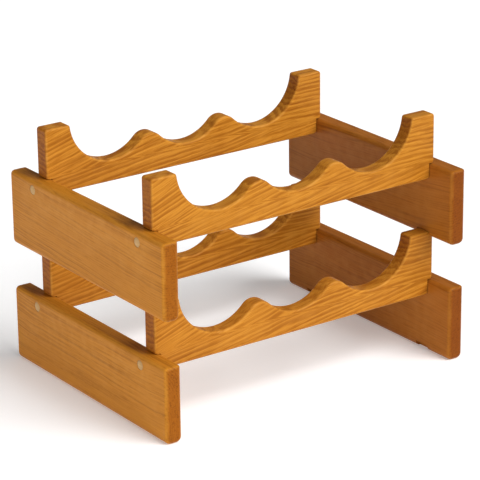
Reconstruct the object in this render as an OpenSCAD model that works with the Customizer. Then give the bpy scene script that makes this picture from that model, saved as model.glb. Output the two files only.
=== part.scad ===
// Two stacking tiers of a solid oak wine rack. Each tier is two scalloped rails
// between two side boards, held by four plugged screws. The rail ends are notched
// over the boards' top edges, and the horns of one tier stand in the sockets
// under the next. +X runs along the rails, -Y is the front, Z = 0 is the table.

/* [Side boards] */
// Width over both side boards
rack_w = 365; // [330:1:420]
// Length of a side board, front to back
side_l = 277; // [220:1:340]
// Height of a side board
side_h = 79; // [75:1:90]
// Thickness of a side board
side_t = 18; // [17:0.5:24]
// Radius of the two bottom edges
side_foot_r = 6; // [2:0.5:7]
// Radius of the top edge that faces left
top_left_r = 4.5; // [0.5:0.5:4.5]
// Radius of the top edge that faces right
top_right_r = 2; // [0.5:0.5:4.5]
// Radius of the upright edges at the board's ends
side_end_r = 4; // [1:0.5:6]

/* [Rails] */
// Thickness of a rail
rail_t = 18; // [16:0.5:22]
// Height of a rail, from its bottom edge to the horn tops
rail_h = 68.5; // [64:0.5:76]
// Height of the rail's bottom edge above the board's bottom
rail_z = 62.5; // [60:0.5:66]
// Distance from the board's end to the rail's outer face
rail_inset = 35; // [20:0.5:45]
// How far each horn overhangs the side board's top edge
horn_over = 6; // [4:0.5:9]
// Radius of the corners of the rail's outline
rail_corner_r = 3; // [1:0.5:3.5]

/* [Cradles] */
// Distance between neighbouring cradles
cradle_pitch = 92; // [88:1:96]
// Radius of a cradle
cradle_r = 49.5; // [47:0.5:52]
// Height of the cradle's centre above the horn tops
cradle_rise = 4; // [2:1:8]
// Radius of the rounded peak between two cradles
peak_r = 16; // [8:1:20]

/* [Stacking] */
// Height from one tier's feet to the next tier's feet
tier_pitch = 125; // [121:1:127]
// Clearance round a horn in its socket
socket_gap = 0.3; // [0.2:0.1:0.6]
// Clearance between a horn's top and its socket's ceiling
seat_gap = 0.1; // [0.05:0.05:0.2]

/* [Fasteners] */
// Diameter of a wood plug and its counterbore
plug_d = 10; // [8:0.5:11]
// Length of a wood plug
plug_l = 7; // [4:0.5:8]
// Height of the screws above the board's bottom
screw_z = 69; // [68:0.5:70]
// Diameter of the screw's thread
screw_d = 4.2; // [3.5:0.1:4.8]
// Length of the screw below its head
screw_l = 38; // [30:1:45]
// Diameter of the screw's head
head_d = 8; // [7:0.5:8.5]
// Thickness of the screw's head
head_h = 2.8; // [2:0.2:3.4]

/* [Hidden] */
$fn = 64;

// Signs of the four sides, used as [left or right, front or rear]
LEFT = -1;
RIGHT = 1;
FRONT = -1;
REAR = 1;

// Colours of the oiled oak, the paler plugs and the steel
BOARD_COLOUR = [0.76, 0.50, 0.24];
RAIL_COLOUR = [0.87, 0.60, 0.28];
PLUG_COLOUR = [0.84, 0.66, 0.45];
STEEL_COLOUR = [0.72, 0.72, 0.74];

// Cutters run this far past the faces that they cut
past = 1;
// Clearance of the plugs and screws in their holes, on the radius
hole_gap = 0.04;
// Two blended arcs overlap by this much, so that they cross and don't just touch
arc_lap = 0.02;

inner_x = rack_w / 2 - side_t;          // inner face of a side board
horn_x = inner_x + horn_over;           // outer end of a horn
rail_y = side_l / 2 - rail_inset - rail_t / 2;  // middle of a rail
horn_z = rail_z + rail_h;               // horn tops
cradle_z = horn_z + cradle_rise;        // centre line of the cradles
socket_h = horn_z - tier_pitch + seat_gap;
bore_l = plug_l + head_h + 0.2;         // depth of a counterbore
shank_r = screw_d / 2 - 0.6;            // thread root
thread_pitch = 2;
point_l = 5;

// ---- Outlines ----

// Rectangle from [x0, y0] to [x1, y1] with a radius for each of its four corners:
// lower left, lower right, upper right, upper left
module rounded_box(x0, y0, x1, y1, radii) {
    corners = [[x0, y0, 1, 1], [x1, y0, -1, 1], [x1, y1, -1, -1], [x0, y1, 1, -1]];
    difference() {
        translate([x0, y0]) square([x1 - x0, y1 - y0]);
        for (i = [0:3]) {
            c = corners[i];
            r = radii[i];
            if (r > 0)
                translate([c[0], c[1]]) scale([c[2], c[3]]) difference() {
                    translate([-past, -past]) square(r + past);
                    translate([r, r]) circle(r);
                }
        }
    }
}

// What is cut away to turn the spike between two cradles into a round peak
module peak_cut() {
    drop = sqrt(pow(cradle_r + peak_r, 2) - pow(cradle_pitch / 2, 2));
    reach = cradle_r / (cradle_r + peak_r);
    touch_x = cradle_pitch / 2 * (1 - reach);
    touch_z = cradle_z - drop * reach;
    difference() {
        polygon([[-touch_x, touch_z], [touch_x, touch_z], [0, cradle_z]]);
        translate([0, cradle_z - drop]) circle(peak_r + arc_lap);
    }
}

// What is cut away to round the horn's corner at the cradle, right-hand horn
module horn_cut() {
    r = rail_corner_r;
    centre_x = cradle_pitch + sqrt(pow(cradle_r + r, 2) - pow(cradle_rise + r, 2));
    reach = cradle_r / (cradle_r + r);
    touch_x = cradle_pitch + (centre_x - cradle_pitch) * reach;
    touch_z = cradle_z - (cradle_rise + r) * reach;
    difference() {
        polygon([[touch_x - past, touch_z], [touch_x, touch_z], [centre_x, horn_z - r],
                 [centre_x, horn_z + past], [touch_x - past, horn_z + past]]);
        translate([centre_x, horn_z - r]) circle(r + arc_lap);
    }
}

// Outline of a rail, X across and Z up
module rail_outline() {
    r = rail_corner_r;
    difference() {
        union() {
            rounded_box(-inner_x, rail_z, inner_x, horn_z, [r, r, 0, 0]);
            rounded_box(-horn_x, side_h, horn_x, horn_z, [r, r, r, r]);
        }
        for (i = [-1:1])
            translate([i * cradle_pitch, cradle_z]) circle(cradle_r, $fn = 128);
        for (side = [-1, 1]) {
            translate([side * cradle_pitch / 2, 0]) peak_cut();
            scale([side, 1]) horn_cut();
        }
    }
}

// ---- Pieces, in the tier's own height ----

// Stands a shape drawn along +Z on its side, so that +Z points to the rack's
// middle from the outer face of a left or right board, at a screw's place
module at_screw(side, row) {
    translate([side * rack_w / 2, row * rail_y, screw_z])
        rotate([0, -side * 90, 0])
            children();
}

// Board with its rounded edges, two sockets under it and two counterbores
module side_board(side) {
    x0 = -side_t / 2;
    x1 = side_t / 2;
    color(BOARD_COLOUR)
    difference() {
        translate([side * (rack_w - side_t) / 2, 0, 0])
            intersection() {
                rotate([90, 0, 0])
                    linear_extrude(side_l, center = true)
                        rounded_box(x0, 0, x1, side_h,
                                    [side_foot_r, side_foot_r, top_right_r, top_left_r]);
                linear_extrude(side_h)
                    rounded_box(x0, -side_l / 2, x1, side_l / 2,
                                [side_end_r, side_end_r, side_end_r, side_end_r]);
            }
        for (row = [FRONT, REAR]) {
            socket(side, row);
            at_screw(side, row) {
                translate([0, 0, -past]) cylinder(h = bore_l + past, d = plug_d);
                cylinder(h = side_t + past, d = screw_d + 0.4);
            }
        }
    }
}

// Space that a horn of the tier below stands in
module socket(side, row) {
    wide = horn_over + socket_gap + past;
    long = rail_t + 2 * socket_gap;
    translate([side * (inner_x - past + wide / 2), row * rail_y, socket_h / 2 - past / 2])
        cube([wide, long, socket_h + past], center = true);
}

// Rail with three cradles, a horn at each end and a pilot hole in each end
module rail(row) {
    color(RAIL_COLOUR)
    difference() {
        translate([0, row * rail_y, 0])
            rotate([90, 0, 0])
                linear_extrude(rail_t, center = true)
                    rail_outline();
        for (side = [LEFT, RIGHT])
            at_screw(side, row)
                cylinder(h = bore_l + screw_l + past, r = screw_d / 2 + hole_gap);
    }
}

// Wood plug, flush with the board's outer face
module plug(side, row) {
    color(PLUG_COLOUR)
    at_screw(side, row)
        cylinder(h = plug_l, r = plug_d / 2 - hole_gap);
}

// Screw with a round head, a smooth neck, a ridged thread and a point
module screw(side, row) {
    neck_l = 8;
    ridges = floor((screw_l - neck_l - point_l) / thread_pitch);
    color(STEEL_COLOUR)
    at_screw(side, row)
        translate([0, 0, bore_l]) {
            translate([0, 0, -head_h]) cylinder(h = head_h, d = head_d);
            cylinder(h = neck_l, r = screw_d / 2);
            cylinder(h = screw_l - point_l, r = shank_r);
            for (i = [0 : ridges - 1])
                translate([0, 0, neck_l + i * thread_pitch])
                    cylinder(h = thread_pitch, r1 = screw_d / 2, r2 = shank_r);
            translate([0, 0, screw_l - point_l])
                cylinder(h = point_l, r1 = shank_r, r2 = 0.2);
        }
}

module upper() {
    translate([0, 0, tier_pitch]) children();
}

// ---- Lower tier ----
side_board(LEFT);  // lower_left_side
side_board(RIGHT);  // lower_right_side
rail(FRONT);  // lower_front_rail
rail(REAR);  // lower_rear_rail
plug(LEFT, FRONT);  // lower_front_left_plug
plug(RIGHT, FRONT);  // lower_front_right_plug
plug(LEFT, REAR);  // lower_rear_left_plug
plug(RIGHT, REAR);  // lower_rear_right_plug
screw(LEFT, FRONT);  // lower_front_left_screw
screw(RIGHT, FRONT);  // lower_front_right_screw
screw(LEFT, REAR);  // lower_rear_left_screw
screw(RIGHT, REAR);  // lower_rear_right_screw

// ---- Upper tier ----
upper() side_board(LEFT);  // upper_left_side
upper() side_board(RIGHT);  // upper_right_side
upper() rail(FRONT);  // upper_front_rail
upper() rail(REAR);  // upper_rear_rail
upper() plug(LEFT, FRONT);  // upper_front_left_plug
upper() plug(RIGHT, FRONT);  // upper_front_right_plug
upper() plug(LEFT, REAR);  // upper_rear_left_plug
upper() plug(RIGHT, REAR);  // upper_rear_right_plug
upper() screw(LEFT, FRONT);  // upper_front_left_screw
upper() screw(RIGHT, FRONT);  // upper_front_right_screw
upper() screw(LEFT, REAR);  // upper_rear_left_screw
upper() screw(RIGHT, REAR);  // upper_rear_right_screw
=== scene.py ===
from math import atan2, cos, hypot, pi, radians, sin, sqrt, tau

import bmesh
import bpy
from mathutils import Matrix, Vector


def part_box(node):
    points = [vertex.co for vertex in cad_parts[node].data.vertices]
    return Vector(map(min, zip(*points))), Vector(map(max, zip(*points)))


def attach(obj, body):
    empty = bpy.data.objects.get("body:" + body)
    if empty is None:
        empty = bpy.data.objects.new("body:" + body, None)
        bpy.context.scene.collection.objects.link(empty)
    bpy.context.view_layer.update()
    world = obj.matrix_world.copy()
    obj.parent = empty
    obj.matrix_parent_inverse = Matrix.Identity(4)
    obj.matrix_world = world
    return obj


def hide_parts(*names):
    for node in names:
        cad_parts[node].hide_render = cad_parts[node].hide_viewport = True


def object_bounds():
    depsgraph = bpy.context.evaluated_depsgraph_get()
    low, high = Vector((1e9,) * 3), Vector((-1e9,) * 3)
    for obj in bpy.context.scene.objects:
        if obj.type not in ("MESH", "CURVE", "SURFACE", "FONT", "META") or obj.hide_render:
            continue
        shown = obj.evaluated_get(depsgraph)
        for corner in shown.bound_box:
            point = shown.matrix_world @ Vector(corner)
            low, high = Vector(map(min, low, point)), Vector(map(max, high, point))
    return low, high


MM = 0.001

# ---- Sizes that the frame's boxes don't give ----
CRADLE_PITCH = 92 * MM       # between neighbouring cradles
CRADLE_R = 49.5 * MM
CRADLE_RISE = 4 * MM         # cradle centres above the horn tops
PEAK_R = 16 * MM             # rounded peak between two cradles
RAIL_CORNER_R = 3 * MM       # corners of a rail's outline
RAIL_EASE = 2.5 * MM         # roundover along a rail's faces
JOINT_EASE = 0.3             # share of the roundover left where a rail meets a board
FOOT_R = 6 * MM              # a board's bottom edges
TOP_LEFT_R = 4.5 * MM        # a board's top edge that faces left
TOP_RIGHT_R = 2 * MM         # a board's top edge that faces right
END_EASE = 4 * MM            # roundover of a board's ends
LEAST_R = 0.2 * MM           # smallest radius that an inset edge shrinks to
SOCKET_GAP = 0.3 * MM        # round a horn in its socket
SEAT_GAP = 0.1 * MM          # over a horn in its socket
PLUG_GAP = 0.05 * MM         # round a plug in its counterbore
PLUG_EASE = 0.7 * MM         # roundover of a plug's rim
BORE_L = 10 * MM             # counterbore, from a board's outer face
HEAD_H = 2.8 * MM
HEAD_R = 4 * MM
DOME = 0.9 * MM              # from a screw head's middle down to its rim
SCREW_R = 2.1 * MM           # over the thread
HOLE_R = 2.16 * MM           # through a board, and into a rail's end
TIP_R = 0.1 * MM
PLUG_CROWN = 0.40 * MM       # how proud a plug's middle stands
THREAD_PITCH = 2 * MM
THREAD_DEPTH = 0.6 * MM
SCREW_NECK = 8 * MM          # plain part below the head
SCREW_POINT = 5 * MM         # tapered part at the tip
PAST = 1 * MM                # cutters run past the faces that they cut
CURVE_STEPS = 6              # points on a quarter of a small round edge

SIDES = {"left": -1, "right": 1}   # sign of X on each side
TIERS = ("lower", "upper")
ROWS = ("front", "rear")

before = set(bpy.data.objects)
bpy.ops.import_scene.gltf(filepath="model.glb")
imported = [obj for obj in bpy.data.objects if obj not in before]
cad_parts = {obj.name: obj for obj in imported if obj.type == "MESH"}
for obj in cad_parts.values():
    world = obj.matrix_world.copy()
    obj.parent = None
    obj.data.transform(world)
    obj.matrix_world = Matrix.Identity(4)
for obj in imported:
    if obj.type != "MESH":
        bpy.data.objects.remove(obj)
cad_lo, cad_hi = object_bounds()


# ---- Mesh making ----

def new_object(name, mesh):
    piece = bpy.data.objects.new(name, mesh)
    bpy.context.scene.collection.objects.link(piece)
    return piece


def loft(name, rings):
    """Closed mesh through rings of equally many points, with a flat face at each end."""
    count = len(rings[0])
    last = (len(rings) - 1) * count
    faces = [tuple(range(count)), tuple(range(last, last + count))]
    for start in range(0, last, count):
        for i in range(count):
            j = (i + 1) % count
            faces.append((start + i, start + j, start + count + j, start + count + i))
    mesh = bpy.data.meshes.new(name)
    mesh.from_pydata([point for ring in rings for point in ring], [], faces)
    edit = bmesh.new()
    edit.from_mesh(mesh)
    bmesh.ops.recalc_face_normals(edit, faces=edit.faces)
    edit.to_mesh(mesh)
    edit.free()
    return new_object(name, mesh)


def turned(name, profile, place, segments=48):
    """Solid of revolution about local Z, through (z, radius) pairs, put where place says."""
    rings = []
    for z, radius in profile:
        angles = [tau * i / segments for i in range(segments)]
        rings.append([place @ Vector((radius * cos(a), radius * sin(a), z)) for a in angles])
    return loft(name, rings)


def block(name, lo, hi):
    """Axis-aligned cutter between two corners."""
    ring = [(lo.x, lo.y), (hi.x, lo.y), (hi.x, hi.y), (lo.x, hi.y)]
    return loft(name, [[Vector((x, y, z)) for x, y in ring] for z in (lo.z, hi.z)])


def cut(piece, cutters):
    """Takes each cutter out of the piece, and throws the cutters away."""
    for cutter in cutters:
        modifier = piece.modifiers.new("cut", "BOOLEAN")
        modifier.operation = "DIFFERENCE"
        modifier.solver = "EXACT"
        modifier.object = cutter
    depsgraph = bpy.context.evaluated_depsgraph_get()
    result = bpy.data.meshes.new_from_object(piece.evaluated_get(depsgraph))
    piece.modifiers.clear()
    piece.data = result
    for cutter in cutters:
        bpy.data.objects.remove(cutter)


def smooth(piece, limit=35):
    """Smooth shading with flat faces kept flat, and edges sharper than limit kept sharp."""
    piece.data.shade_smooth()
    piece.data.set_sharp_from_angle(angle=radians(limit))
    modifier = piece.modifiers.new("flat_faces", "WEIGHTED_NORMAL")
    modifier.keep_sharp = True


def arc(centre, radii, start, end, steps=CURVE_STEPS):
    """Points along part of an ellipse in the XZ plane, with both ends."""
    turns = [start + (end - start) * i / steps for i in range(steps + 1)]
    return [(centre[0] + radii[0] * cos(t), centre[1] + radii[1] * sin(t)) for t in turns]


def roundover(half, ease):
    """(offset along Y, inset) pairs across a board whose two faces have a roundover."""
    turns = [pi / 2 * i / CURVE_STEPS for i in range(CURVE_STEPS + 1)]
    front = [(-half + ease - ease * sin(t), ease - ease * cos(t)) for t in reversed(turns)]
    return front + [(-y, inset) for y, inset in reversed(front)]


# ---- Wood grain, carried by each board's own mesh ----

def mark_wood(piece, along, across, offset, slope, bow, tone_and_shade):
    """Stores what the wood materials read: where each point lies in its board's grain, and how
    far it is on a rounded edge, on end grain, and how light the board is, which on the right
    boards is mostly painted shade. The grain climbs by slope along the board, and bends by bow."""
    mesh = piece.data
    through = 3 - along - across
    shift = Vector(offset)
    grain = mesh.attributes.new("grain", "FLOAT_VECTOR", "POINT")
    marks = mesh.attributes.new("marks", "FLOAT_VECTOR", "POINT")
    for vertex in mesh.vertices:
        point, normal = vertex.co, vertex.normal
        run = point[along]
        climb = slope * run + bow * run ** 2
        place = Vector((run, point[across] - climb, point[through])) + shift
        grain.data[vertex.index].vector = place
        edge = 2 * abs(normal[through]) * hypot(normal[along], normal[across])
        marks.data[vertex.index].vector = (edge, abs(normal[along]), tone_and_shade)


# ---- Rails ----

def rail_outline(lo, hi, joint_x, joint_z, inset):
    """Points round a rail's outline, moved in by inset, as (x, z) pairs."""
    r = RAIL_CORNER_R
    near = inset * JOINT_EASE
    small = (r - inset, r - inset)
    cradle = CRADLE_R + inset
    cradle_z = hi.z + CRADLE_RISE

    horn_z = hi.z - r
    horn_x = CRADLE_PITCH + sqrt((CRADLE_R + r) ** 2 - (cradle_z - horn_z) ** 2)
    horn_turn = atan2(horn_z - cradle_z, horn_x - CRADLE_PITCH)
    drop = sqrt((CRADLE_R + PEAK_R) ** 2 - (CRADLE_PITCH / 2) ** 2)
    peak_turn = atan2(drop, CRADLE_PITCH / 2)

    half = [(0, lo.z + inset)]
    half += arc((joint_x - r, lo.z + r), (r - near, r - inset), -pi / 2, 0)
    half += [(joint_x - near, joint_z + near)]
    half += arc((hi.x - r, joint_z + r), (r - inset, r - near), -pi / 2, 0)
    half += arc((hi.x - r, horn_z), small, 0, pi / 2)
    half += arc((horn_x, horn_z), small, pi / 2, pi + horn_turn)
    half += arc((CRADLE_PITCH, cradle_z), (cradle, cradle), horn_turn, -pi + peak_turn, 40)[1:-1]
    half += arc((CRADLE_PITCH / 2, cradle_z - drop), (PEAK_R - inset, PEAK_R - inset),
                peak_turn, pi - peak_turn, 14)
    half += arc((0, cradle_z), (cradle, cradle), -peak_turn, -pi / 2, 18)[1:]
    return half + [(-x, z) for x, z in reversed(half[1:-1])]


def make_rail(name, tier):
    lo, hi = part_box(name)
    board_lo, board_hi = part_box(f"{tier}_right_side")
    middle, half = (lo.y + hi.y) / 2, (hi.y - lo.y) / 2
    rings = []
    for y, inset in roundover(half, RAIL_EASE):
        outline = rail_outline(lo, hi, board_lo.x, board_hi.z, inset)
        rings.append([Vector((x, middle + y, z)) for x, z in outline])
    piece = loft(f"{name}_oak", rings)
    pilots = []
    for side in SIDES:
        row = name.split("_")[1]
        place, length, radius = screw_place(f"{tier}_{row}_{side}")
        profile = [(BORE_L, radius), (BORE_L + length + PAST, radius)]
        pilots.append(turned("pilot", profile, place))
    cut(piece, pilots)
    return piece


# ---- Side boards ----

def board_outline(lo, hi, inset):
    """Points round a side board's section, moved in by inset, as (x, z) pairs."""
    corners = [
        (hi.x, lo.z, -1, 1, FOOT_R, -pi / 2), (hi.x, hi.z, -1, -1, TOP_RIGHT_R, 0),
        (lo.x, hi.z, 1, -1, TOP_LEFT_R, pi / 2), (lo.x, lo.z, 1, 1, FOOT_R, pi)]
    points = []
    for x, z, in_x, in_z, full_r, start in corners:
        r = max(full_r - inset, LEAST_R)
        centre = (x + in_x * (inset + r), z + in_z * (inset + r))
        points += arc(centre, (r, r), start, start + pi / 2)
    return points


def make_side(name, tier, side):
    lo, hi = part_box(name)
    middle, half = (lo.y + hi.y) / 2, (hi.y - lo.y) / 2
    rings = []
    for y, inset in roundover(half, END_EASE):
        rings.append([Vector((x, middle + y, z)) for x, z in board_outline(lo, hi, inset)])
    piece = loft(f"{name}_oak", rings)

    # Sockets are as deep as a horn reaches into the tier above it.
    inner_x = lo.x if side == "right" else hi.x
    horn_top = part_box("lower_front_rail")[1].z
    depth = horn_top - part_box("upper_left_side")[0].z + SEAT_GAP
    cutters = []
    for row in ROWS:
        rail_lo, rail_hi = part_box(f"{tier}_{row}_rail")
        horn_x = (rail_hi.x + SOCKET_GAP) * SIDES[side]
        xs = sorted((inner_x - SIDES[side] * PAST, horn_x))
        cutters.append(block("socket", Vector((xs[0], rail_lo.y - SOCKET_GAP, lo.z - PAST)),
                             Vector((xs[1], rail_hi.y + SOCKET_GAP, lo.z + depth))))
        place, length, radius = screw_place(f"{tier}_{row}_{side}")
        plug_lo, plug_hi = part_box(f"{tier}_{row}_{side}_plug")
        bore_r = (plug_hi.y - plug_lo.y) / 2 + PLUG_GAP
        profile = [(-PAST, bore_r), (BORE_L, bore_r), (BORE_L, radius),
                   (hi.x - lo.x + PAST, radius)]
        cutters.append(turned("counterbore", profile, place))
    cut(piece, cutters)
    return piece


# ---- Plugs and screws ----

def screw_place(stem):
    """Matrix whose +Z runs inwards from a board's outer face at a screw, with the length of the
    screw below its head and the radius of its hole."""
    lo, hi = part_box(f"{stem}_screw")
    side = SIDES[stem.split("_")[2]]
    outer_x = cad_hi.x * side
    turn = Matrix.Rotation(-side * pi / 2, 4, "Y")
    place = Matrix.Translation((outer_x, (lo.y + hi.y) / 2, (lo.z + hi.z) / 2)) @ turn
    return place, hi.x - lo.x - HEAD_H, HOLE_R


def make_plug(stem):
    lo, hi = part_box(f"{stem}_plug")
    radius, length = (hi.y - lo.y) / 2, hi.x - lo.x
    flat_r = radius - PLUG_EASE
    profile = [(length, flat_r), (length - PLUG_EASE, radius)]
    for step in range(5):
        turn = pi / 2 * step / 4
        profile.append((PLUG_EASE - PLUG_EASE * sin(turn), flat_r + PLUG_EASE * cos(turn)))
    for share in (0.75, 0.5, 0.25, 0.03):
        profile.append((-PLUG_CROWN * (1 - share ** 2), flat_r * share))
    return turned(f"{stem}_plug_oak", profile, screw_place(stem)[0])


def recess_depth(x, y):
    """Depth of a screw head's cross recess at a point on the head."""
    reach, slot_half, deepest = 2.3 * MM, 0.55 * MM, 1.5 * MM
    across, along = sorted((abs(x), abs(y)))
    wall = min(1, max(0, (slot_half - across) / (0.3 * MM) + 0.5))
    end = min(1, max(0, (reach - along) / (0.7 * MM)))
    return deepest * wall * end


def make_screw(stem):
    """Screw with a domed head, a cross recess and a real helical thread."""
    place, length, _ = screw_place(stem)
    segments = 32
    root = SCREW_R - THREAD_DEPTH
    turns = [tau * i / segments for i in range(segments)]
    top = BORE_L - HEAD_H
    rings = []
    for share in (0.04, 0.1, 0.17, 0.25, 0.34, 0.43, 0.5, 0.56, 0.62, 0.7, 0.8, 0.9, 0.97):
        r = share * HEAD_R
        dome = DOME * share ** 4
        points = [(r * cos(t), r * sin(t)) for t in turns]
        rings.append([Vector((x, y, top + dome + recess_depth(x, y))) for x, y in points])
    for z, r in ((1.4, 1.0), (2.5, 1.0), (2.8, 0.96)):
        rim_r = HEAD_R * r
        rings.append([Vector((rim_r * cos(t), rim_r * sin(t), top + z * MM)) for t in turns])

    steps = 8
    thread_l = length - SCREW_NECK
    count = int(thread_l / THREAD_PITCH * steps)
    rings.append([Vector((SCREW_R * cos(t), SCREW_R * sin(t), BORE_L)) for t in turns])
    for i in range(count):
        z = thread_l * i / count
        taper = min(1, (thread_l - z) / SCREW_POINT)
        start = min(1, z / THREAD_PITCH)
        ring = []
        for t in turns:
            phase = (z / THREAD_PITCH - t / tau) % 1
            ridge = max(0, 1 - abs(phase - 0.5) * 3.4)
            r = (root + THREAD_DEPTH * (ridge * start + 1 - start)) * taper + TIP_R
            ring.append(Vector((r * cos(t), r * sin(t), BORE_L + SCREW_NECK + z)))
        rings.append(ring)
    tip = BORE_L + length
    rings.append([Vector((TIP_R * cos(t), TIP_R * sin(t), tip)) for t in turns])
    return loft(f"{stem}_screw_steel", [[place @ point for point in ring] for ring in rings])


# ---- Materials ----

class Shader:
    """A material's node tree, with short calls that add and link nodes."""

    def __init__(self, name):
        self.material = bpy.data.materials.new(name)
        self.material.use_nodes = True
        self.tree = self.material.node_tree
        self.surface = self.tree.nodes["Principled BSDF"]

    def node(self, kind, *inputs, **settings):
        node = self.tree.nodes.new("ShaderNode" + kind)
        for key, value in settings.items():
            setattr(node, key, value)
        for i, value in enumerate(inputs):
            self.plug(node.inputs[i], value)
        return node

    def plug(self, socket, value):
        if isinstance(value, bpy.types.NodeSocket):
            self.tree.links.new(value, socket)
        elif value is not None:
            socket.default_value = value

    def math(self, operation, *values):
        return self.node("Math", *values, operation=operation).outputs[0]

    def vector(self, operation, *values):
        return self.node("VectorMath", *values, operation=operation).outputs[0]

    def fit(self, value, lo, hi, to_lo=0.0, to_hi=1.0):
        return self.node("MapRange", value, lo, hi, to_lo, to_hi).outputs[0]

    def noise(self, where, scale=1.0, detail=2.0, roughness=0.5):
        node = self.node("TexNoise")
        self.plug(node.inputs["Vector"], where)
        for key, value in (("Scale", scale), ("Detail", detail), ("Roughness", roughness)):
            node.inputs[key].default_value = value
        return node.outputs[0]

    def fibres(self, where, waves, detail=2.0, roughness=0.5):
        """Noise with this many waves per metre along, across and through the grain."""
        return self.noise(self.vector("MULTIPLY", where, waves), 1, detail, roughness)

    def attribute(self, name):
        return self.node("Attribute", attribute_name=name).outputs["Vector"]

    def blend(self, amount, first, second, mode="MIX"):
        node = self.node("Mix", data_type="RGBA", blend_type=mode)
        for key, value in ((0, amount), (6, first), (7, second)):
            self.plug(node.inputs[key], value)
        return node.outputs[2]

    def bump(self, height, strength, distance, normal=None):
        node = self.node("Bump")
        for key, value in (("Height", height), ("Strength", strength), ("Distance", distance),
                           ("Normal", normal)):
            self.plug(node.inputs[key], value)
        return node.outputs[0]

    def finish(self, **values):
        for key, value in values.items():
            self.plug(self.surface.inputs[key.replace("_", " ")], value)
        return self.material


END_GRAIN = (0.61, 0.47, 0.27, 1)   # how much darker and redder lacquered end grain is


TYPICAL_DEPTH = 0.22   # the fibres' share of the colour's depth, before their texture


def oak(name, pale, mid, dark, ring_width, waviness, ring_contrast, line_contrast, texture, wear_and_edge_light_colour):
    """Satin-lacquered oak: growth rings round the pith at the grain's origin, open pores in the
    early wood, ray flecks on the quarter, darker end grain, and rounded edges that go towards
    the edge colour: a painted highlight with some real wear on sides and rails, and painted shade
    round a plug's edge. Lengths are in metres, and the contrasts and texture are shares."""
    s = Shader(name)
    grain = s.attribute("grain")
    marks = s.node("SeparateXYZ", s.attribute("marks")).outputs
    edge, end, tone_and_shade = marks[0], marks[1], marks[2]

    # Rings: distance from the pith, bent by slow noise that is stretched along the grain
    slow = s.node("TexNoise")
    s.plug(slow.inputs["Vector"], s.vector("MULTIPLY", grain, (11, 26, 26)))
    slow.inputs["Scale"].default_value = 1.0
    slow.inputs["Detail"].default_value = 3.0
    bend = s.vector("SUBTRACT", slow.outputs["Color"], (0.5, 0.5, 0.5))
    bent = s.vector("ADD", grain, s.vector("MULTIPLY", bend, (0, waviness, waviness)))
    parts = s.node("SeparateXYZ", bent).outputs
    across = s.math("ADD", parts[1], s.math("MULTIPLY", parts[0], 0.05))
    distance = s.math("SQRT", s.math("ADD", s.math("MULTIPLY", across, across),
                                     s.math("MULTIPLY", parts[2], parts[2])))
    uneven = s.fibres(grain, (3, 90, 90), 2)
    count = s.math("ADD", s.math("DIVIDE", distance, ring_width), s.math("MULTIPLY", uneven, 1.8))
    ring = s.math("FRACT", count)
    early = s.math("MULTIPLY", s.math("POWER", s.math("SUBTRACT", 1.0, ring), 1.4),
                   s.fit(ring, 0.0, 0.30))
    patchy = s.fit(s.fibres(grain, (14, 60, 60), 2), 0.3, 0.7, 0.25, 1.0)
    early = s.math("MULTIPLY", early, patchy)

    # Pores: long thin dashes, crowded in the early wood
    pores = s.fibres(bent, (110, 1700, 1700), 2, 0.6)
    pore_limit = s.fit(early, 0.0, 0.7, 0.66, 0.53)
    pore = s.fit(s.math("SUBTRACT", pores, pore_limit), 0.0, 0.07)
    fibre = s.fibres(bent, (28, 900, 900), 3, 0.65)
    streak = s.fibres(bent, (3, 300, 300), 3, 0.55)
    hair = s.fit(s.fibres(bent, (4, 480, 480), 1), 0.56, 0.68)
    cloud = s.fibres(grain, (9, 26, 26), 2)
    ray = s.fit(s.fibres(grain, (240, 900, 130), 1), 0.70, 0.80)

    # Colour
    depth = s.math("ADD", s.math("MULTIPLY", early, ring_contrast),
                   s.math("MULTIPLY", streak, 0.7))
    depth = s.math("ADD", depth, s.math("MULTIPLY", s.math("SUBTRACT", fibre, 0.5), texture))
    depth = s.math("ADD", depth, TYPICAL_DEPTH)
    colour = s.blend(s.fit(depth, 0.42, 0.95), pale, mid)
    colour = s.blend(s.fit(depth, 0.75, 1.45), colour, dark)
    colour = s.blend(s.math("MULTIPLY", pore, 0.45), colour, dark)
    colour = s.blend(s.math("MULTIPLY", hair, line_contrast), colour, dark)
    colour = s.blend(s.math("MULTIPLY", ray, 0.14), colour, pale)
    colour = s.blend(s.math("MULTIPLY", s.fit(cloud, 0.3, 0.7), 0.35), colour, mid)
    colour = s.blend(s.fit(end, 0.6, 0.97), colour, END_GRAIN, "MULTIPLY")
    # Painted highlight on the rounded edges, mixed with some real wear; on the plugs the edge
    # colour is dark and paints shade round the edge
    wear_and_edge_light = s.math("MULTIPLY", edge, s.fit(s.noise(grain, 90, 3), 0.4, 0.7, 0.15, 0.50))
    colour = s.blend(wear_and_edge_light, colour, wear_and_edge_light_colour)

    # Boards with a darker tone are also a little redder; on the right boards this darkening and
    # reddening is mostly painted shade for their inner faces, with a little real difference
    shade = s.fit(tone_and_shade, 0.0, 1.0, 0.5, 1.5)
    hue = s.fit(tone_and_shade, 0.20, 0.45, 0.491, 0.5)
    colour = s.node("HueSaturation", hue, 1.0, shade, 1.0, colour).outputs[0]

    # Surface: pores sink under the lacquer, fibres raise it a little
    relief = s.math("SUBTRACT", s.math("MULTIPLY", fibre, 0.4), pore)
    normal = s.bump(relief, 0.3, 0.00012)
    flow = s.fibres(grain, (20, 50, 50), 2)
    normal = s.bump(flow, 0.03, 0.001, normal)
    gloss = s.math("ADD", s.fit(fibre, 0.3, 0.7, 0.40, 0.52), s.math("MULTIPLY", pore, 0.12))
    gloss = s.math("SUBTRACT", gloss, s.math("MULTIPLY", wear_and_edge_light, 0.2))
    return s.finish(Base_Color=colour, Roughness=gloss, Normal=normal, Coat_Weight=0.03,
                    Coat_Roughness=0.25, Specular_IOR_Level=0.12,
                    Specular_Tint=(1.0, 0.70, 0.40, 1))


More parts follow.
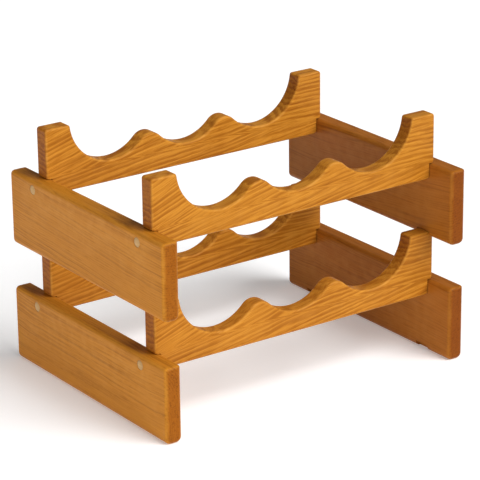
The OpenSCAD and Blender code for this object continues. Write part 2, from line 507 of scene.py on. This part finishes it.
def steel(name):
    """Bright zinc plating with fine turning marks and dull patches."""
    s = Shader(name)
    where = s.node("TexCoord").outputs["Object"]
    patches = s.noise(where, 900, 3, 0.6)
    scratches = s.noise(s.vector("MULTIPLY", where, (6000, 900, 900)), 1, 2)
    colour = s.blend(s.fit(patches, 0.3, 0.7), (0.62, 0.62, 0.64, 1), (0.50, 0.51, 0.55, 1))
    return s.finish(Base_Color=colour, Roughness=s.fit(patches, 0.3, 0.7, 0.22, 0.42),
                    Normal=s.bump(scratches, 0.25, 0.00005), Metallic=1.0)


def floor_paint(name):
    """Pale matt studio floor with a very faint mottle."""
    s = Shader(name)
    mottle = s.noise(s.node("TexCoord").outputs["Object"], 3, 4)
    colour = s.blend(s.fit(mottle, 0.3, 0.7), (0.90, 0.90, 0.90, 1), (0.88, 0.88, 0.885, 1))
    return s.finish(Base_Color=colour, Roughness=0.9, Specular_IOR_Level=0.1,
                    Emission_Color=(1, 1, 1, 1), Emission_Strength=0.25)


def rgb(red, green, blue):
    return (red, green, blue, 1)


# The pale edge colours of the side and rail oak are painted highlights, with some real wear
side_oak = oak(
    "side_oak", pale=rgb(0.550, 0.212, 0.020), mid=rgb(0.425, 0.152, 0.011),
    dark=rgb(0.225, 0.070, 0.005), ring_width=0.0026, waviness=0.005, ring_contrast=0.55,
    line_contrast=0.50, texture=0.9, wear_and_edge_light_colour=rgb(0.580, 0.245, 0.034))
rail_oak = oak(
    "rail_oak", pale=rgb(0.660, 0.280, 0.030), mid=rgb(0.450, 0.158, 0.011),
    dark=rgb(0.265, 0.073, 0.004), ring_width=0.0050, waviness=0.009, ring_contrast=1.15,
    line_contrast=0.30, texture=1.2, wear_and_edge_light_colour=rgb(0.700, 0.330, 0.060))
# The plugs' dark edge colour is painted shade round each plug's edge
plug_oak = oak(
    "plug_oak", pale=rgb(0.560, 0.350, 0.150), mid=rgb(0.460, 0.270, 0.105),
    dark=rgb(0.280, 0.140, 0.045), ring_width=0.0030, waviness=0.006, ring_contrast=0.30,
    line_contrast=0.20, texture=0.5, wear_and_edge_light_colour=rgb(0.150, 0.060, 0.015))
screw_steel = steel("screw_steel")


# ---- The rack ----

def place_piece(piece, node, body, material, limit=35):
    piece.data.materials.append(material)
    smooth(piece, limit)
    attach(piece, body)
    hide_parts(node)


# How each board was sawn: (along, across, through) shift from the rack's frame to the log's
# pith, in metres, the grain's slope and bow, and how light the board is; the right boards'
# low value is mostly painted shade for their inner faces, with a little real difference
SIDE_WOOD = {
    "lower_left_side": ((0.3, -0.02, 0.25), 0.02, 0.30, 0.48),
    "lower_right_side": ((1.1, 0.05, -0.25), 0.03, -0.20, 0.22),
    "upper_left_side": ((2.2, 0.02, 0.20), 0.07, 0.10, 0.48),
    "upper_right_side": ((3.4, -0.06, -0.23), -0.04, 0.25, 0.22)}
RAIL_WOOD = {
    "lower_front_rail": ((4.1, 0.06, 0.15), 0.20, -0.55, 0.40),
    "lower_rear_rail": ((5.3, 0.07, -0.14), 0.14, -0.40, 0.40),
    "upper_front_rail": ((6.2, -0.05, 0.15), 0.22, -0.60, 0.43),
    "upper_rear_rail": ((7.7, -0.04, -0.14), 0.16, -0.45, 0.42)}

for tier in TIERS:
    body = f"{tier}_tier"
    for side in SIDES:
        node = f"{tier}_{side}_side"
        board = make_side(node, tier, side)
        mark_wood(board, 1, 2, *SIDE_WOOD[node])
        place_piece(board, node, body, side_oak)
    for row in ROWS:
        node = f"{tier}_{row}_rail"
        rail = make_rail(node, tier)
        mark_wood(rail, 0, 2, *RAIL_WOOD[node])
        place_piece(rail, node, body, rail_oak)
        for side in SIDES:
            stem = f"{tier}_{row}_{side}"
            plug = make_plug(stem)
            plug_wood = (len(stem) * 0.37, 0.05, 0.24)   # a shift that varies between plugs
            mark_wood(plug, 1, 2, plug_wood, 0.0, 0.0, 0.5)
            place_piece(plug, f"{stem}_plug", body, plug_oak, 60)
            place_piece(make_screw(stem), f"{stem}_screw", body, screw_steel, 50)


# ---- Stage ----

def add_floor():
    """Pale slab, in metres, whose top is level with the rack's feet."""
    reach, thickness = 6, 0.02
    floor = block("floor", Vector((-reach, -reach, -thickness)), Vector((reach, reach, cad_lo.z)))
    floor.data.materials.append(floor_paint("floor_paint"))


def add_light(name, place, energy, size):
    """Soft square lamp that faces the rack."""
    lamp = bpy.data.lights.new(name, "AREA")
    lamp.energy = energy
    lamp.size = size
    light = bpy.data.objects.new(name, lamp)
    light.location = place
    light.rotation_euler = (centre - Vector(place)).to_track_quat("-Z", "Y").to_euler()
    bpy.context.scene.collection.objects.link(light)


def add_sun(name, toward, strength, spread):
    """Very soft sun that shines from the direction toward, spread over an angle in degrees."""
    lamp = bpy.data.lights.new(name, "SUN")
    lamp.energy = strength
    lamp.angle = radians(spread)
    light = bpy.data.objects.new(name, lamp)
    light.rotation_euler = (-Vector(toward)).to_track_quat("-Z", "Y").to_euler()
    bpy.context.scene.collection.objects.link(light)


def add_world(strength):
    world = bpy.data.worlds.new("studio")
    world.use_nodes = True
    background = world.node_tree.nodes["Background"]
    background.inputs["Color"].default_value = (1, 1, 1, 1)
    background.inputs["Strength"].default_value = strength
    bpy.context.scene.world = world


def add_camera(azimuth, elevation, roll, distance, aim_right, aim_up, lens):
    """Camera that looks at the rack's middle, or a little beside it, from in front and left."""
    turn, tilt, lean = radians(azimuth), radians(elevation), radians(roll)
    ahead = Vector((sin(turn) * cos(tilt), cos(turn) * cos(tilt), -sin(tilt)))
    level = Vector((cos(turn), -sin(turn), 0))
    upward = level.cross(ahead)
    target = centre - aim_right * level - aim_up * upward
    right = level * cos(lean) + upward * sin(lean)
    up = upward * cos(lean) - level * sin(lean)
    data = bpy.data.cameras.new("camera")
    data.sensor_width = 36
    data.lens = lens
    camera = bpy.data.objects.new("camera", data)
    place = target - ahead * distance
    rows = zip(right, up, -ahead, place)
    camera.matrix_world = Matrix([*rows, (0, 0, 0, 1)])
    bpy.context.scene.collection.objects.link(camera)
    bpy.context.scene.camera = camera


centre = (cad_lo + cad_hi) / 2
bpy.context.scene.view_settings.view_transform = "Standard"
add_floor()
add_world(0.18)
add_sun("key", (0.42, -0.9, 0.95), 3.4, 50)
add_light("low_fill", (-1.7, -0.5, 0.16), 12, 0.6)
add_camera(35.165, 20.127, -0.669, 2.619, -0.0022, -0.0003, 193.8)
